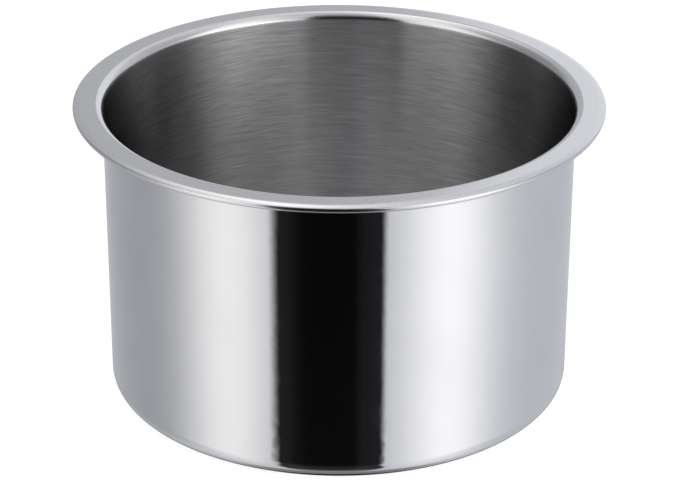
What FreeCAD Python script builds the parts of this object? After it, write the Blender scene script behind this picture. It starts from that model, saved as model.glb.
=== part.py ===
import FreeCAD, Part
import math
import os

# The removable pot of a soup kettle: one disc of stainless steel sheet, deep drawn into a pot
# whose wall opens slightly upwards, with a flat flange that hangs it in the kettle. The flange
# slopes down towards its edge, which is turned down sharply and curled back under. The pot
# stands on the origin, and +Z runs up its axis. Millimetres and degrees.

# Driving dimensions
rim_diameter = 305.0            # over the curled edge
body_diameter_at_rim = 271.5    # outside of the wall, carried up to the flange's underside
body_diameter_at_base = 268.2   # outside of the wall, carried down to the base
height = 177.5                  # from the base to the flange's top face
sheet = 0.8                     # thickness of the steel, the same all over
base_corner_radius = 11.7       # outside, where the base turns up into the wall
neck_radius = 5.0               # inside, where the wall turns out into the flange
brim_radius = 10.0              # on top, where the flange starts to slope down
brim_slope = 25.0               # how steep the flange is where its edge turns down
edge_radius = 1.1               # outside, where the slope turns straight down
curl_radius = 2.6               # outside, where the edge curls back under the flange
curl_turn = 90.0                # how far it curls, from straight down


def travel(point, heading, length, turn):
    """Where a straight or a round bend of this length ends, and its heading there."""
    chord = length * math.sin(turn / 2) / (turn / 2) if turn else length
    along = heading + turn / 2
    step = FreeCAD.Vector(chord * math.cos(along), 0, chord * math.sin(along))
    return point + step, heading + turn


def beside(point, heading, distance):
    """The point that lies this far to the left of a heading."""
    return point + FreeCAD.Vector(-math.sin(heading), 0, math.cos(heading)) * distance


def side_edge(stations, distance, turn):
    """One face of the sheet along a run, from the run's start, middle and end."""
    first, middle, last = [beside(point, heading, distance) for point, heading in stations]
    curve = Part.Arc(first, middle, last) if turn else Part.LineSegment(first, last)
    return curve.toShape()


def sheet_section(start, runs):
    """The cut face of a sheet that follows these runs, each a length and a turn."""
    point, heading = start, 0.0
    upper, lower = [], []
    for length, turn in runs:
        stations = [travel(point, heading, length * part, turn * part) for part in (0, 0.5, 1)]
        upper.append(side_edge(stations, sheet / 2, turn))
        lower.append(side_edge(stations, -sheet / 2, turn))
        point, heading = stations[-1]
    axis_end = Part.LineSegment(beside(start, 0.0, -sheet / 2), beside(start, 0.0, sheet / 2))
    cut_end = Part.LineSegment(beside(point, heading, sheet / 2), beside(point, heading, -sheet / 2))
    edges = [axis_end.toShape()] + upper + [cut_end.toShape()] + lower[::-1]
    return Part.Face(Part.Wire(Part.__sortEdges__(edges)))


def insert_pot():
    """The whole pot: base, corner, wall, neck, flange, brim, edge and curl, in one run of sheet."""
    lean = (body_diameter_at_rim - body_diameter_at_base) / 2
    rise = height - sheet
    wall_angle = math.atan2(rise, lean)

    # A bend takes this much off each of the two straights that meet in its corner.
    base_setback = base_corner_radius * math.tan(wall_angle / 2)
    neck_setback = (neck_radius - sheet) * math.tan(wall_angle / 2)

    base_length = body_diameter_at_base / 2 - base_setback
    wall_length = math.hypot(lean, rise) - base_setback - neck_setback

    slope = math.radians(brim_slope)
    brim_reach = brim_radius * math.sin(slope) + edge_radius * (1 - math.sin(slope))
    flange_length = (rim_diameter / 2 - brim_reach) - (body_diameter_at_rim / 2 + neck_setback)

    def bend(outer_radius, turn):
        return (outer_radius - sheet / 2) * abs(turn), turn

    runs = [
        (base_length, 0.0),
        bend(base_corner_radius, wall_angle),
        (wall_length, 0.0),
        bend(neck_radius, -wall_angle),
        (flange_length, 0.0),
        bend(brim_radius, -slope),
        bend(edge_radius, slope - math.pi / 2),
        bend(curl_radius, -math.radians(curl_turn)),
    ]
    section = sheet_section(FreeCAD.Vector(0, 0, sheet / 2), runs)
    return section.revolve(FreeCAD.Vector(0, 0, 0), FreeCAD.Vector(0, 0, 1), 360)


os.makedirs("parts", exist_ok=True)
insert_pot().exportStep("parts/insert_pot.step")
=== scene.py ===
"""The removable pot of a soup kettle: one sheet of stainless steel, deep drawn, with a flat
flange to hang it by and an edge curled under. Metres; the pot stands on the origin, +Z up its axis.
"""

import math

import bpy
import numpy as np
from mathutils import Matrix, Vector


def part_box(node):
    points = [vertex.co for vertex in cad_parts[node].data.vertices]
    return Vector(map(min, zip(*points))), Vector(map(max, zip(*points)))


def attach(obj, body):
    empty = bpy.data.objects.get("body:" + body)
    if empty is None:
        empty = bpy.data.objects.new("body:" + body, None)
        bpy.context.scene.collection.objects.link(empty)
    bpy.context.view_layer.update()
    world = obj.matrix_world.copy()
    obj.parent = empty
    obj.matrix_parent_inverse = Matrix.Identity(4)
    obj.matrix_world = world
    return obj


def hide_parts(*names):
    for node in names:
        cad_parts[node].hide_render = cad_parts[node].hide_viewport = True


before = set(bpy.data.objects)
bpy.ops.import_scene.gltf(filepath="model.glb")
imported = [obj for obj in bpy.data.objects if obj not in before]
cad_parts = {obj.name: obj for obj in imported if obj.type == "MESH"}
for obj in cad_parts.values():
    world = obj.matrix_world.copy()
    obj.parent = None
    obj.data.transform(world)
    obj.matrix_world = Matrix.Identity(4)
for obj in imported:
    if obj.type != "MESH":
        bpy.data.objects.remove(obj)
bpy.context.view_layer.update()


# Camera. It stands in front of the pot and looks down into it, far enough off that the pot's
# sides run nearly straight, and leans by a fraction of a degree.
camera_foot = Vector((0.0, -1.638, 0.8523))
camera_pitch = math.radians(25.04)
camera_lean = math.radians(0.156)

camera_data = bpy.data.cameras.new("camera")
camera_data.lens = 163.54
camera_data.sensor_width = 36.0
camera_data.shift_x = 0.00165
camera_data.shift_y = 0.0003
camera_data.clip_end = 50.0
camera = bpy.data.objects.new("camera", camera_data)
bpy.context.scene.collection.objects.link(camera)
camera.matrix_world = (
    Matrix.Translation(camera_foot)
    @ Matrix.Rotation(math.radians(90.0) - camera_pitch, 4, "X")
    @ Matrix.Rotation(camera_lean, 4, "Z")
)
bpy.context.scene.camera = camera
bpy.context.scene.view_settings.view_transform = "Standard"


# Studio. A pale tent with a tall soft box on each side of the camera, softer light overhead and
# behind, and a black curtain round the camera, which polished steel shows as a dark stripe. It is
# painted by direction. Compass angles run from the camera (0) to the right (+90) in degrees, and
# heights are degrees above level. A depth is a height turned round, in degrees below level.
room_tone_left = 0.46
room_tone_right = 0.74
room_tint = (0.95, 0.985, 1.05)
soft_box_tint = (1.04, 1.0, 0.97)
#   name: (compass, spread, height, half height, strength)
soft_lights = {
    "left box": (-56, 27, 0, 57, 0.81),
    "right box": (56, 27, 0, 57, 0.79),
    "at the right box's middle": (46, 20, 8, 16, 0.95),
    "over the left": (-111, 75, 87, 41, 0.69),
    "over the right": (95, 46, 61, 20, 0.30),
    "over the back": (-168, 12, 56, 14, 0.78),
    "table on the left": (-92, 36, -65, 20, 0.33),
    "table on the right": (88, 34, -66, 18, 0.30),
}

#   A screen behind, on the right: the compass angles and the heights where it starts, is full,
#   starts to fade and has faded, and its strength low down and high up.
screen_sides = (90, 130, 177.2, 178.4)
screen_heights = (-14, 5, 26, 44)
screen_strength = 0.33
screen_strength_high_up = 0.10

#   Thin wings beyond both soft boxes, the same way, and how much light they let through.
wing_sides = (66, 88, 130, 150)
wing_heights = (-12, 2, 45, 70)
wing_lets_through = 0.70

#     The roof, and the table under the pot, painted darker as the pot's shadow on it: where each
#     starts and is full, and its tone.
roof_heights = (74, 90)
roof_tone = 0.68
under_depths = (64, 78)
under_shade_tone = 0.28
under_leans_back = math.radians(8.0)

#   The black curtain: its edges, from outside it to inside it or the other way round, its tones,
#   and how it widens towards its foot and leans in above.
curtain_left = (-35.4, -29.0)
curtain_right = (20.5, 24.4)
curtain_top = (28, 92)
curtain_bottom_depths = (60, 88)
curtain_tone = 0.006
curtain_foot_depths = (26, 54)
curtain_foot_tone = 0.048
curtain_head_heights = (-12, 6)
curtain_head_adds = 0.03
curtain_widens_at = (36, 66)
curtain_widens_by = 10.0
curtain_leans_at = (-15, -2)
curtain_leans_by = 6.0

#   The table in the pot's own shadow, as the foot of its back shows it.
own_shadow_sides = (150, 174)
own_shadow_depths = (26, 31, 70, 82)
own_shadow_tone = 0.05

#   Light that leaks past the curtain's edges: (compass, spread, strength, tint)
leaks = (
    (-27, 6, 0.013, (1.0, 1.0, 1.0)),
    (12, 3, 0.008, (1.25, 0.95, 0.80)),
    (18, 4, 0.014, (0.95, 0.92, 1.15)),
)


def calculate(tree, operation, *inputs):
    """A Math node on numbers or sockets; gives back its result socket."""
    node = tree.nodes.new("ShaderNodeMath")
    node.operation = operation
    for socket, value in zip(node.inputs, inputs):
        if isinstance(value, bpy.types.NodeSocket):
            tree.links.new(value, socket)
        else:
            socket.default_value = value
    return node.outputs[0]


def soft_step(tree, value, start, end, low=0.0, high=1.0):
    """Goes smoothly from low to high as value goes from start to end."""
    node = tree.nodes.new("ShaderNodeMapRange")
    node.interpolation_type = "SMOOTHSTEP"
    tree.links.new(value, node.inputs["Value"])
    ends = {"From Min": start, "From Max": end, "To Min": low, "To Max": high}
    for name, number in ends.items():
        node.inputs[name].default_value = number
    return node.outputs["Result"]


def blend_to(tree, amount, start, end):
    """A number that goes from start to end, sockets or numbers, with amount."""
    node = tree.nodes.new("ShaderNodeMix")
    node.data_type = "FLOAT"
    for name, value in (("Factor", amount), ("A", start), ("B", end)):
        socket = next(s for s in node.inputs if s.name == name and s.type == "VALUE")
        if isinstance(value, bpy.types.NodeSocket):
            tree.links.new(value, socket)
        else:
            socket.default_value = value
    return next(s for s in node.outputs if s.type == "VALUE")


def tinted(tree, tone, tint):
    """A tint scaled by a tone."""
    node = tree.nodes.new("ShaderNodeVectorMath")
    node.operation = "SCALE"
    node.inputs[0].default_value = tint
    tree.links.new(tone, node.inputs["Scale"])
    return node.outputs[0]


def sum_of(tree, first, second):
    """Two colours added."""
    node = tree.nodes.new("ShaderNodeVectorMath")
    node.operation = "ADD"
    tree.links.new(first, node.inputs[0])
    tree.links.new(second, node.inputs[1])
    return node.outputs[0]


world = bpy.data.worlds.new("studio")
world.use_nodes = True
bpy.context.scene.world = world
studio = world.node_tree
studio.nodes.clear()


def in_studio(operation, *inputs):
    """A Math node of the studio's."""
    return calculate(studio, operation, *inputs)


def around(centre, spread):
    """Squared compass distance from centre, in spreads."""
    apart = in_studio("WRAP", in_studio("SUBTRACT", compass, centre), 180.0, -180.0)
    return in_studio("POWER", in_studio("ABSOLUTE", in_studio("DIVIDE", apart, spread)), 2.0)


def falling(distance):
    """One at no distance, and less and less further out."""
    return in_studio("EXPONENT", in_studio("MULTIPLY", distance, -1.0))


def soft_light(centre, spread, height, half_height, strength):
    """A patch of light with soft edges, flatter from top to bottom than from side to side."""
    off_height = in_studio("DIVIDE", in_studio("SUBTRACT", above, height), half_height)
    fall = in_studio("POWER", in_studio("ABSOLUTE", off_height), 4.0)
    total = in_studio("ADD", around(centre, spread), fall)
    return in_studio("MULTIPLY", falling(total), strength)


def between(value, start, full, fading, end, faded=0.0):
    """Goes smoothly from nothing to one and then to its faded strength as value grows."""
    return in_studio(
        "MULTIPLY",
        soft_step(studio, value, start, full),
        soft_step(studio, value, fading, end, 1.0, faded),
    )


direction = studio.nodes.new("ShaderNodeSeparateXYZ")
coordinates = studio.nodes.new("ShaderNodeTexCoord")
studio.links.new(coordinates.outputs["Generated"], direction.inputs[0])
x, y, z = direction.outputs
compass = in_studio("DEGREES", in_studio("ARCTAN2", x, in_studio("MULTIPLY", y, -1.0)))
off_camera = in_studio("ABSOLUTE", compass)
above = in_studio("DEGREES", in_studio("ARCSINE", z))
below = in_studio("MULTIPLY", above, -1.0)

room_middle = (room_tone_right + room_tone_left) / 2
room = in_studio("MULTIPLY_ADD", x, (room_tone_right - room_tone_left) / 2, room_middle)
screen_faded = screen_strength_high_up / screen_strength
screen = in_studio(
    "MULTIPLY", between(compass, *screen_sides), between(above, *screen_heights, screen_faded)
)
room = in_studio("ADD", room, in_studio("MULTIPLY", screen, screen_strength))
boxes = 0.0
for patch in soft_lights.values():
    boxes = in_studio("ADD", boxes, soft_light(*patch))

straight_down = in_studio("MULTIPLY", z, -math.cos(under_leans_back))
down = in_studio("MULTIPLY_ADD", y, math.sin(under_leans_back), straight_down)
at_roof = soft_step(studio, above, *roof_heights)
# Painted shade: the table under the pot is darkened here as the pot's shadow on it.
under = soft_step(studio, in_studio("DEGREES", in_studio("ARCSINE", down)), *under_depths)
room = blend_to(studio, at_roof, room, roof_tone)
room = blend_to(studio, under, room, under_shade_tone)
open_tent = in_studio(
    "MULTIPLY", in_studio("SUBTRACT", 1.0, at_roof), in_studio("SUBTRACT", 1.0, under)
)
boxes = in_studio("MULTIPLY", boxes, open_tent)

wider = soft_step(studio, below, *curtain_widens_at, 0.0, curtain_widens_by)
leaning = soft_step(studio, above, *curtain_leans_at, 0.0, curtain_leans_by)
from_right_edge = in_studio("ADD", in_studio("SUBTRACT", compass, wider), leaning)
curtain = in_studio(
    "MULTIPLY",
    soft_step(studio, in_studio("ADD", compass, wider), *curtain_left),
    soft_step(studio, from_right_edge, *curtain_right, 1.0, 0.0),
)
curtain = in_studio("MULTIPLY", curtain, soft_step(studio, above, *curtain_top, 1.0, 0.0))
at_table = soft_step(studio, below, *curtain_bottom_depths, 1.0, 0.0)
curtain = in_studio("MULTIPLY", curtain, at_table)
foot = soft_step(studio, below, *curtain_foot_depths, curtain_tone, curtain_foot_tone)
head = soft_step(studio, above, *curtain_head_heights, 0.0, curtain_head_adds)
seen = blend_to(studio, curtain, 1.0, in_studio("ADD", foot, head))
shaded = in_studio(
    "MULTIPLY", soft_step(studio, off_camera, *own_shadow_sides), between(below, *own_shadow_depths)
)
seen = in_studio("MULTIPLY", seen, blend_to(studio, shaded, 1.0, own_shadow_tone))
winged = in_studio("MULTIPLY", between(off_camera, *wing_sides), between(above, *wing_heights))
seen = in_studio("MULTIPLY", seen, blend_to(studio, winged, 1.0, wing_lets_through))
glow = sum_of(
    studio,
    tinted(studio, in_studio("MULTIPLY", room, seen), room_tint),
    tinted(studio, in_studio("MULTIPLY", boxes, seen), soft_box_tint),
)
for centre, spread, strength, tint in leaks:
    through = in_studio("MULTIPLY", curtain, strength)
    leak = in_studio("MULTIPLY", falling(around(centre, spread)), through)
    glow = sum_of(studio, glow, tinted(studio, leak, tint))

lit = studio.nodes.new("ShaderNodeBackground")
studio.links.new(glow, lit.inputs["Color"])
white = studio.nodes.new("ShaderNodeBackground")
white.inputs["Color"].default_value = (1.0, 1.0, 1.0, 1.0)
ray = studio.nodes.new("ShaderNodeLightPath")
choice = studio.nodes.new("ShaderNodeMixShader")
studio.links.new(ray.outputs["Is Camera Ray"], choice.inputs[0])
studio.links.new(lit.outputs[0], choice.inputs[1])
studio.links.new(white.outputs[0], choice.inputs[2])
output = studio.nodes.new("ShaderNodeOutputWorld")
studio.links.new(choice.outputs[0], output.inputs["Surface"])


# Floor. A white sheet that burns out to the background everywhere but in the pot's soft shadow.
# The steel sees the studio painted above instead of it.
floor_size = 12.0
floor_glow = 0.85
floor_paper = 0.36

bpy.ops.mesh.primitive_plane_add(size=floor_size)
floor = bpy.context.object
floor.name = "floor"
floor.visible_glossy = False
floor.visible_shadow = False
paper = bpy.data.materials.new("white paper")
paper.use_nodes = True
paper_tree = paper.node_tree
paper_tree.nodes.clear()
matt = paper_tree.nodes.new("ShaderNodeBsdfDiffuse")
matt.inputs["Color"].default_value = (floor_paper, floor_paper, floor_paper, 1.0)
shine = paper_tree.nodes.new("ShaderNodeEmission")
paper_ray = paper_tree.nodes.new("ShaderNodeLightPath")
paper_tree.links.new(
    calculate(paper_tree, "MULTIPLY", paper_ray.outputs["Is Camera Ray"], floor_glow),
    shine.inputs["Strength"],
)
both = paper_tree.nodes.new("ShaderNodeAddShader")
paper_tree.links.new(matt.outputs[0], both.inputs[0])
paper_tree.links.new(shine.outputs[0], both.inputs[1])
paper_output = paper_tree.nodes.new("ShaderNodeOutputMaterial")
paper_tree.links.new(both.outputs[0], paper_output.inputs["Surface"])
floor.data.materials.append(paper)


# Insert pot. One disc of stainless steel sheet, deep drawn in a press. Its flange is ironed flat,
# slopes down towards its edge, and is curled under there. The outside is mirror polished, the
# inside is brushed round and round on a lathe up into the neck, and neck and flange are polished.
lowest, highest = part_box("insert_pot")
rim_radius = min(highest.x, highest.y, -lowest.x, -lowest.y)
height = highest.z
sheet = 0.0008
wall_foot_radius = 0.1341
wall_head_radius = 0.13575
corner_radius = 0.0117
neck_radius = 0.005
brim_radius = 0.010
brim_slope = math.radians(25.0)
edge_radius = 0.0011
curl_radius = 0.0026
brushed_neck = math.radians(14.0)
divisions_round = 320


def steel_material(name):
    """Bare stainless steel; gives back the material, its tree and its shader."""
    material = bpy.data.materials.new(name)
    material.use_nodes = True
    tree = material.node_tree
    shader = tree.nodes["Principled BSDF"]
    shader.inputs["Metallic"].default_value = 1.0
    return material, tree, shader


def noise(tree, vector, scale, detail=2.0, roughness=0.5):
    """Noise from 0 to 1 whose largest marks are about 1 / scale across."""
    node = tree.nodes.new("ShaderNodeTexNoise")
    tree.links.new(vector, node.inputs["Vector"])
    node.inputs["Scale"].default_value = scale
    node.inputs["Detail"].default_value = detail
    node.inputs["Roughness"].default_value = roughness
    return node.outputs["Fac"]


def object_place(tree):
    """Where a point is on the pot, in metres, and that split into x, y and z."""
    place = tree.nodes.new("ShaderNodeTexCoord").outputs["Object"]
    split = tree.nodes.new("ShaderNodeSeparateXYZ")
    tree.links.new(place, split.inputs[0])
    return place, split.outputs


def tone_from(tree, amount, dark, light):
    """A colour between two, by an amount that mostly stays near one half."""
    ramp = tree.nodes.new("ShaderNodeValToRGB")
    ramp.color_ramp.elements[0].position = 0.3
    ramp.color_ramp.elements[0].color = (*dark, 1.0)
    ramp.color_ramp.elements[1].position = 0.7
    ramp.color_ramp.elements[1].color = (*light, 1.0)
    tree.links.new(amount, ramp.inputs[0])
    return ramp.outputs["Color"]


def bump(tree, shader, height_socket, depth):
    """Raises the surface by up to this depth, where the height socket is 1."""
    node = tree.nodes.new("ShaderNodeBump")
    node.inputs["Distance"].default_value = depth
    tree.links.new(height_socket, node.inputs["Height"])
    tree.links.new(node.outputs[0], shader.inputs["Normal"])


def mirror_polish():
    """Buffed to a mirror, with the faint waviness that drawing and buffing leave near the foot."""
    material, tree, shader = steel_material("mirror polished steel")
    place, (_, _, level) = object_place(tree)
    cloud = noise(tree, place, 18.0, 3.0)
    colour = tone_from(tree, cloud, (0.625, 0.625, 0.63), (0.655, 0.655, 0.66))
    tree.links.new(colour, shader.inputs["Base Color"])
    smudge = noise(tree, place, 55.0, 4.0, 0.6)
    tree.links.new(soft_step(tree, smudge, 0.45, 0.75, 0.045, 0.08), shader.inputs["Roughness"])
    near_foot = soft_step(tree, level, 0.012, 0.05, 1.0, 0.25)
    waves = calculate(tree, "MULTIPLY", noise(tree, place, 130.0, 1.0), near_foot)
    bump(tree, shader, waves, 0.00006)
    return material


def rim_finish():
    """Polished neck, flange and edge, a little hazier than the wall and finely mottled."""
    material, tree, shader = steel_material("rim steel")
    place, _ = object_place(tree)
    fine = noise(tree, place, 700.0, 3.0, 0.6)
    colour = tone_from(tree, fine, (0.635, 0.625, 0.62), (0.695, 0.685, 0.68))
    tree.links.new(colour, shader.inputs["Base Color"])
    tree.links.new(soft_step(tree, fine, 0.3, 0.7, 0.11, 0.17), shader.inputs["Roughness"])
    bump(tree, shader, fine, 0.000004)
    return material


def brushed_finish():
    """Brushed round and round on a lathe: scratches a couple of centimetres long and finer
    hairlines between them. They spread a reflection far up and down, and hardly sideways."""
    scratch_length = 0.025
    hairline_length = 0.010
    times_longer_than_wide = 36.0
    material = bpy.data.materials.new("brushed steel")
    material.use_nodes = True
    tree = material.node_tree
    tree.nodes.clear()
    shader = tree.nodes.new("ShaderNodeBsdfAnisotropic")
    shader.distribution = "BECKMANN"
    shader.inputs["Anisotropy"].default_value = 0.68
    lathe = tree.nodes.new("ShaderNodeTangent")
    lathe.direction_type = "RADIAL"
    lathe.axis = "Z"
    tree.links.new(lathe.outputs[0], shader.inputs["Tangent"])
    surface = tree.nodes.new("ShaderNodeOutputMaterial")
    tree.links.new(shader.outputs[0], surface.inputs["Surface"])

    # The pattern is squeezed across the scratches: up the wall, and outwards on the bottom.
    place, (across, back, level) = object_place(tree)
    flat_place = tree.nodes.new("ShaderNodeMapping")
    flat_place.inputs["Scale"].default_value = (1.0, 1.0, 0.0)
    tree.links.new(place, flat_place.inputs["Vector"])
    radius = tree.nodes.new("ShaderNodeVectorMath")
    radius.operation = "LENGTH"
    tree.links.new(flat_place.outputs[0], radius.inputs[0])
    along = calculate(tree, "ADD", radius.outputs["Value"], level)
    squeezed = tree.nodes.new("ShaderNodeCombineXYZ")
    tree.links.new(across, squeezed.inputs[0])
    tree.links.new(back, squeezed.inputs[1])
    tree.links.new(
        calculate(tree, "MULTIPLY", along, times_longer_than_wide), squeezed.inputs[2]
    )
    scratches = noise(tree, squeezed.outputs[0], 1 / scratch_length, 4.0, 0.6)
    hairlines = noise(tree, squeezed.outputs[0], 1 / hairline_length, 2.0)
    fainter = calculate(tree, "MULTIPLY", hairlines, 0.4)
    brushing = calculate(tree, "MULTIPLY_ADD", scratches, 0.6, fainter)
    colour = tone_from(tree, brushing, (0.40, 0.395, 0.395), (0.745, 0.74, 0.74))
    tree.links.new(colour, shader.inputs["Color"])
    tree.links.new(soft_step(tree, brushing, 0.2, 0.8, 0.29, 0.33), shader.inputs["Roughness"])
    bump(tree, shader, brushing, 0.000008)
    return material


def mill_finish():
    """Left dull, as the sheet came from the press: the flange's underside and the base."""
    material, tree, shader = steel_material("dull underside steel")
    place, _ = object_place(tree)
    cloud = noise(tree, place, 40.0, 4.0, 0.6)
    colour = tone_from(tree, cloud, (0.56, 0.56, 0.57), (0.63, 0.63, 0.64))
    tree.links.new(colour, shader.inputs["Base Color"])
    grain = noise(tree, place, 220.0, 3.0)
    tree.links.new(soft_step(tree, grain, 0.3, 0.7, 0.38, 0.5), shader.inputs["Roughness"])
    bump(tree, shader, noise(tree, place, 700.0, 2.0), 0.00002)
    return material


def travel(heading, length, turn):
    """How far across and up the sheet's middle goes along one run."""
    if not turn:
        return length * np.array((math.cos(heading), math.sin(heading)))
    end = heading + turn
    across = math.sin(end) - math.sin(heading)
    rise = math.cos(heading) - math.cos(end)
    return length / turn * np.array((across, rise))


half = sheet / 2
wall_angle = math.atan2(height - sheet, wall_head_radius - wall_foot_radius)
base_flat = wall_foot_radius - corner_radius * math.tan(wall_angle / 2)
corner = ((corner_radius - half) * wall_angle, wall_angle)
neck_foot = ((neck_radius - half) * brushed_neck, -brushed_neck)
neck_head = ((neck_radius - half) * (wall_angle - brushed_neck), brushed_neck - wall_angle)
brim = ((brim_radius - half) * brim_slope, -brim_slope)
edge = ((edge_radius - half) * (math.pi / 2 - brim_slope), brim_slope - math.pi / 2)
curl = ((curl_radius - half) * math.pi / 2, -math.pi / 2)
corner_step = travel(0.0, *corner)
neck_step = travel(wall_angle, *neck_foot) + travel(wall_angle - brushed_neck, *neck_head)
brim_step = travel(0.0, *brim) + travel(-brim_slope, *edge)
wall_length = (height - sheet - corner_step[1] - neck_step[1]) / math.sin(wall_angle)
wall_step = travel(wall_angle, wall_length, 0.0)
flange_flat = rim_radius - half - base_flat - (corner_step + wall_step + neck_step + brim_step)[0]
#   length of the sheet's middle, how far it turns, divisions, finish inside, finish outside
MIRROR, RIM, BRUSHED, MILL = range(4)
runs = (
    (base_flat, 0.0, 12, BRUSHED, MILL),
    (*corner, 22, BRUSHED, MIRROR),
    (wall_length, 0.0, 30, BRUSHED, MIRROR),
    (*neck_foot, 8, BRUSHED, MILL),
    (*neck_head, 16, RIM, MILL),
    (flange_flat, 0.0, 3, RIM, MILL),
    (*brim, 10, RIM, MILL),
    (*edge, 12, RIM, MILL),
    (*curl, 20, RIM, MILL),
)


def sheet_stations():
    """Points and headings along the sheet's middle, from the axis to the curled edge, with the
    finish of the piece that ends at each."""
    point = np.array((0.0, half))
    heading = 0.0
    stations = [(point, heading, BRUSHED, MILL)]
    for length, turn, divisions, inside, outside in runs:
        for step in range(1, divisions + 1):
            part = step / divisions
            reached = point + travel(heading, length * part, turn * part)
            stations.append((reached, heading + turn * part, inside, outside))
        point, heading = stations[-1][:2]
    return stations


def section_mesh():
    """The sheet's outline as a chain of edges in the XZ plane, up its outside and back down its
    inside. Each edge knows its finish and which way the surface faces at its two ends."""
    stations = sheet_stations()
    points = []
    facings = []
    for side, walk in ((-1, stations), (1, stations[::-1])):
        for point, heading, _, _ in walk:
            facing = np.array((-math.sin(heading), math.cos(heading))) * side
            points.append(point + facing * half)
            facings.append(facing)
    outside = [station[3] for station in stations[1:]]
    inside = [station[2] for station in stations[:0:-1]]
    cut_strip = len(outside)
    cut_heading = stations[-1][1]
    cut_facing = np.array((math.cos(cut_heading), math.sin(cut_heading)))
    facing_at_start = facings[:-1]
    facing_at_end = facings[1:]
    facing_at_start[cut_strip] = cut_facing
    facing_at_end[cut_strip] = cut_facing

    mesh = bpy.data.meshes.new("section")
    edges = [(number, number + 1) for number in range(len(points) - 1)]
    mesh.from_pydata([(across, 0.0, level) for across, level in points], edges, [])
    finish = mesh.attributes.new("finish", "INT", "EDGE")
    finish.data.foreach_set("value", outside + [MILL] + inside)
    for name, pairs in (("start", facing_at_start), ("end", facing_at_end)):
        stored = mesh.attributes.new(f"facing at {name}", "FLOAT_VECTOR", "EDGE")
        vectors = [(across, 0.0, up) for across, up in pairs]
        stored.data.foreach_set("vector", np.array(vectors, dtype=np.float32).ravel())
    return mesh


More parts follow.
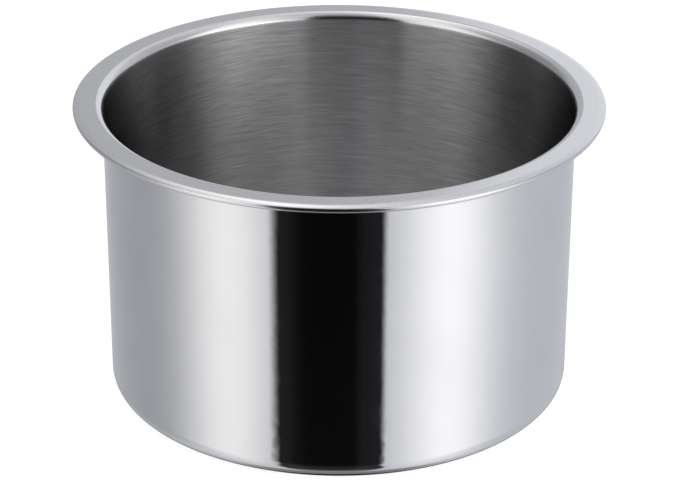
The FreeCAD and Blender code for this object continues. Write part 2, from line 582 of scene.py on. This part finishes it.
def turning_tree(finish_names):
    """Geometry nodes that turn a section once round the Z axis. A tube with one strip of faces for
    each of the section's edges takes the section's shape. It all gets the first finish, and then
    the faces that have another get theirs."""
    tree = bpy.data.node_groups.new("turned from its section", "GeometryNodeTree")
    tree.interface.new_socket("Section", in_out="INPUT", socket_type="NodeSocketGeometry")
    tree.interface.new_socket("Divisions Round", in_out="INPUT", socket_type="NodeSocketInt")
    for name in finish_names:
        tree.interface.new_socket(name, in_out="INPUT", socket_type="NodeSocketMaterial")
    tree.interface.new_socket("Pot", in_out="OUTPUT", socket_type="NodeSocketGeometry")
    given = tree.nodes.new("NodeGroupInput").outputs

    def add(kind, inputs, **settings):
        """A node with these settings, and with these values or sockets in its named inputs."""
        node = tree.nodes.new(kind)
        for setting, value in settings.items():
            setattr(node, setting, value)
        for name, value in inputs.items():
            socket = next(s for s in node.inputs if s.name == name and s.enabled)
            if isinstance(value, bpy.types.NodeSocket):
                tree.links.new(value, socket)
            else:
                socket.default_value = value
        return node

    def from_section(value, data_type, domain, index):
        """What the section holds at this point or edge."""
        inputs = {"Geometry": given["Section"], "Value": value, "Index": index}
        return add("GeometryNodeSampleIndex", inputs, data_type=data_type, domain=domain).outputs[0]

    def split(vector):
        """The x, y and z of a vector."""
        return add("ShaderNodeSeparateXYZ", {"Vector": vector}).outputs

    def turned(across, up):
        """A vector that lies in the section, turned to where a point is round the axis."""
        return add("ShaderNodeCombineXYZ", {
            "X": calculate(tree, "MULTIPLY", right, across),
            "Y": calculate(tree, "MULTIPLY", back, across),
            "Z": up,
        }).outputs[0]

    # The tube is as high as it has strips, so that a height along it counts them.
    size = add("GeometryNodeAttributeDomainSize", {"Geometry": given["Section"]})
    strips = size.outputs["Edge Count"]
    tube = add("GeometryNodeMeshCylinder", {
        "Vertices": given["Divisions Round"],
        "Side Segments": strips,
        "Radius": 1.0,
        "Depth": strips,
    }, fill_type="NONE")
    marked = tree.nodes.new("GeometryNodeCaptureAttribute")
    marked.capture_items.new("VECTOR", "Place on the tube")
    tree.links.new(tube.outputs["Mesh"], marked.inputs["Geometry"])
    place = tree.nodes.new("GeometryNodeInputPosition").outputs[0]
    tree.links.new(place, marked.inputs["Place on the tube"])
    right, back, height_on_tube = split(marked.outputs["Place on the tube"])
    row = calculate(tree, "MULTIPLY_ADD", strips, 0.5, height_on_tube)
    middle = add("GeometryNodeFieldOnDomain", {"Value": row}, data_type="FLOAT", domain="FACE")
    strip = calculate(tree, "FLOOR", middle.outputs[0])

    # Each row of points goes where the section's point is. At the axis a row shrinks to one point.
    point = calculate(tree, "ROUND", row)
    across, _, level = split(from_section(place, "FLOAT_VECTOR", "POINT", point))
    shaped = add("GeometryNodeSetPosition", {
        "Geometry": marked.outputs["Geometry"],
        "Position": turned(across, level),
    })
    closed = add("GeometryNodeMergeByDistance", {
        "Geometry": shaped.outputs[0],
        "Distance": 0.000001,
    })

    # The way the true bends face, so that a mirror finish shows no facets.
    facings = []
    for name in ("facing at start", "facing at end"):
        stored = add("GeometryNodeInputNamedAttribute", {"Name": name}, data_type="FLOAT_VECTOR")
        facings.append(split(from_section(stored.outputs[0], "FLOAT_VECTOR", "EDGE", strip)))
    at_start, at_end = facings
    along_strip = calculate(tree, "SUBTRACT", row, strip)
    across = blend_to(tree, along_strip, at_start["X"], at_end["X"])
    up = blend_to(tree, along_strip, at_start["Z"], at_end["Z"])
    smooth = add("GeometryNodeSetShadeSmooth", {"Geometry": closed.outputs[0]})
    facing = add("GeometryNodeSetMeshNormal", {
        "Mesh": smooth.outputs[0],
        "Custom Normal": turned(across, up),
    }, mode="FREE", domain="CORNER")

    stored = add("GeometryNodeInputNamedAttribute", {"Name": "finish"}, data_type="INT")
    finish = from_section(stored.outputs[0], "INT", "EDGE", strip)
    finished = add("GeometryNodeRealizeInstances", {"Geometry": facing.outputs[0]})
    for number, name in enumerate(finish_names):
        inputs = {"Geometry": finished.outputs[0], "Material": given[name]}
        if number > 0:
            inputs["Selection"] = calculate(tree, "COMPARE", finish, number, 0.5)
        finished = add("GeometryNodeSetMaterial", inputs)
    result = tree.nodes.new("NodeGroupOutput")
    tree.links.new(finished.outputs[0], result.inputs["Pot"])
    return tree


# In the order of the numbers that the runs call them by.
finishes = {
    "Mirror": mirror_polish(),
    "Rim": rim_finish(),
    "Brushed": brushed_finish(),
    "Mill": mill_finish(),
}
section = section_mesh()
pot = bpy.data.objects.new("insert_pot_steel", section)
bpy.context.scene.collection.objects.link(pot)
turning = pot.modifiers.new("turned", "NODES")
turning.node_group = turning_tree(finishes)
inputs = {"Divisions Round": divisions_round, **finishes}
for socket in turning.node_group.interface.items_tree:
    if socket.in_out == "INPUT" and socket.name in inputs:
        turning[socket.identifier] = inputs[socket.name]

# The turned mesh takes the place of the section and its modifier.
evaluated = pot.evaluated_get(bpy.context.evaluated_depsgraph_get())
steel = bpy.data.meshes.new_from_object(evaluated)
steel.materials.pop(index=0)        # the empty slot that a new tube comes with
pot.modifiers.clear()
pot.data = steel
bpy.data.meshes.remove(section)
steel.name = "insert_pot_steel"
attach(pot, "root")
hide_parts("insert_pot")
